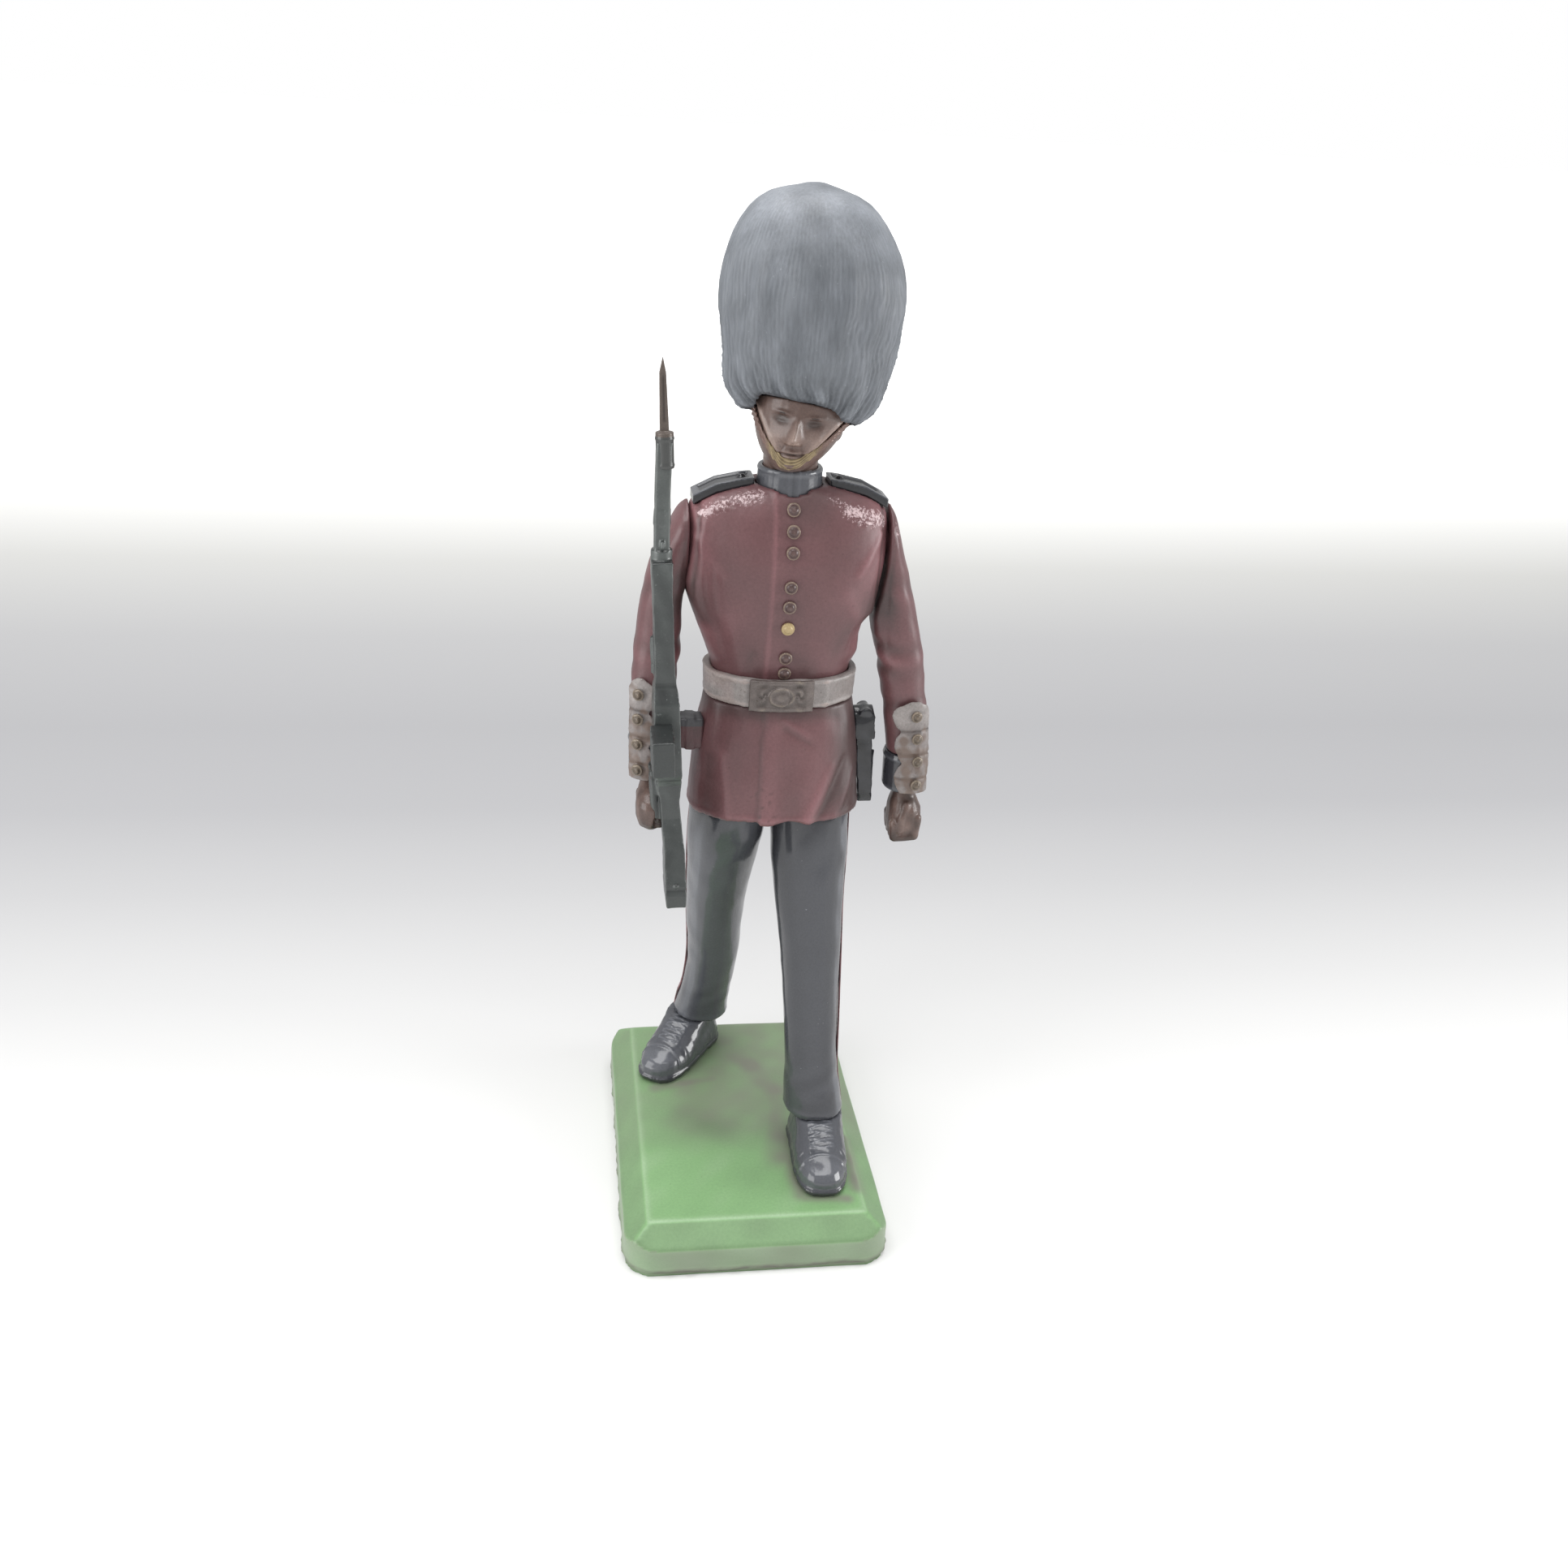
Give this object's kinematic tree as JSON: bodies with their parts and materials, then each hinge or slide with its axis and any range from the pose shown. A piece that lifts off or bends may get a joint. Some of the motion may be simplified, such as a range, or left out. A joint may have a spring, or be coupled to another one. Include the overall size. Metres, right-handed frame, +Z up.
{
  "type": "toy soldier figure",
  "caption": "Toy foot guard in a red tunic and tall fur cap, marching on a green plinth with a rifle upright at its side; its head turns and its arms swing.",
  "frame": {"origin": "centre of the plinth's outline, on the plane that it stands on", "axes": "+Z up through the fur cap, -Y the way the figure faces, +X towards its left hand"},
  "size_m": [0.0228, 0.0288, 0.0751],
  "materials": {
    "plinth_green": "satin",
    "steel": "satin",
    "black_gloss": "gloss",
    "seam_red": "satin",
    "tunic_red": "satin",
    "brass": "satin",
    "belt_white": "satin",
    "flesh": "satin",
    "fur_grey": "satin",
    "arm_red": "satin",
    "arm_black": "gloss",
    "flash_white": "satin",
    "arm_brass": "satin",
    "rifle_dark": "satin",
    "blade_grey": "satin"
  },
  "bodies": {
    "figure_on_plinth": {"plinth": "plinth_green", "foot_pins": "steel", "left_boot": "black_gloss", "right_boot": "black_gloss", "left_leg": "black_gloss", "right_leg": "black_gloss", "left_seam_line": "seam_red", "right_seam_line": "seam_red", "tunic_skirt": "tunic_red", "tunic_body": "tunic_red", "front_buttons": "brass", "back_buttons": "brass", "belt": "belt_white", "belt_plate": "brass", "collar": "black_gloss", "left_shoulder_strap": "black_gloss", "right_shoulder_strap": "black_gloss", "frog": "black_gloss", "scabbard": "black_gloss", "rifle_rest": "tunic_red"},
    "head_and_cap": {"head": "flesh", "chin_strap": "brass", "fur_cap": "fur_grey"},
    "right_arm_with_rifle": {"right_sleeve": "arm_red", "right_cuff": "arm_black", "right_cuff_flash": "flash_white", "right_cuff_buttons": "arm_brass", "right_hand": "flesh", "rifle": "rifle_dark", "magazine": "rifle_dark", "bayonet": "blade_grey"},
    "left_arm": {"left_sleeve": "arm_red", "left_cuff": "arm_black", "left_cuff_flash": "flash_white", "left_cuff_buttons": "arm_brass", "left_hand": "flesh"}
  },
  "joints": [
    {"name": "head_turn", "type": "hinge", "parent": "figure_on_plinth", "child": "head_and_cap", "pos_m": [0.00115, 0.0007, 0.0561], "axis": [0, 0, 1], "continuous": true},
    {"name": "right_arm_swing", "type": "hinge", "parent": "figure_on_plinth", "child": "right_arm_with_rifle", "pos_m": [-0.0057, 0.0009, 0.0522], "axis": [-1, 0, 0], "continuous": true},
    {"name": "left_arm_swing", "type": "hinge", "parent": "figure_on_plinth", "child": "left_arm", "pos_m": [0.0082, 0.0009, 0.0522], "axis": [-1, 0, 0], "continuous": true}
  ]
}
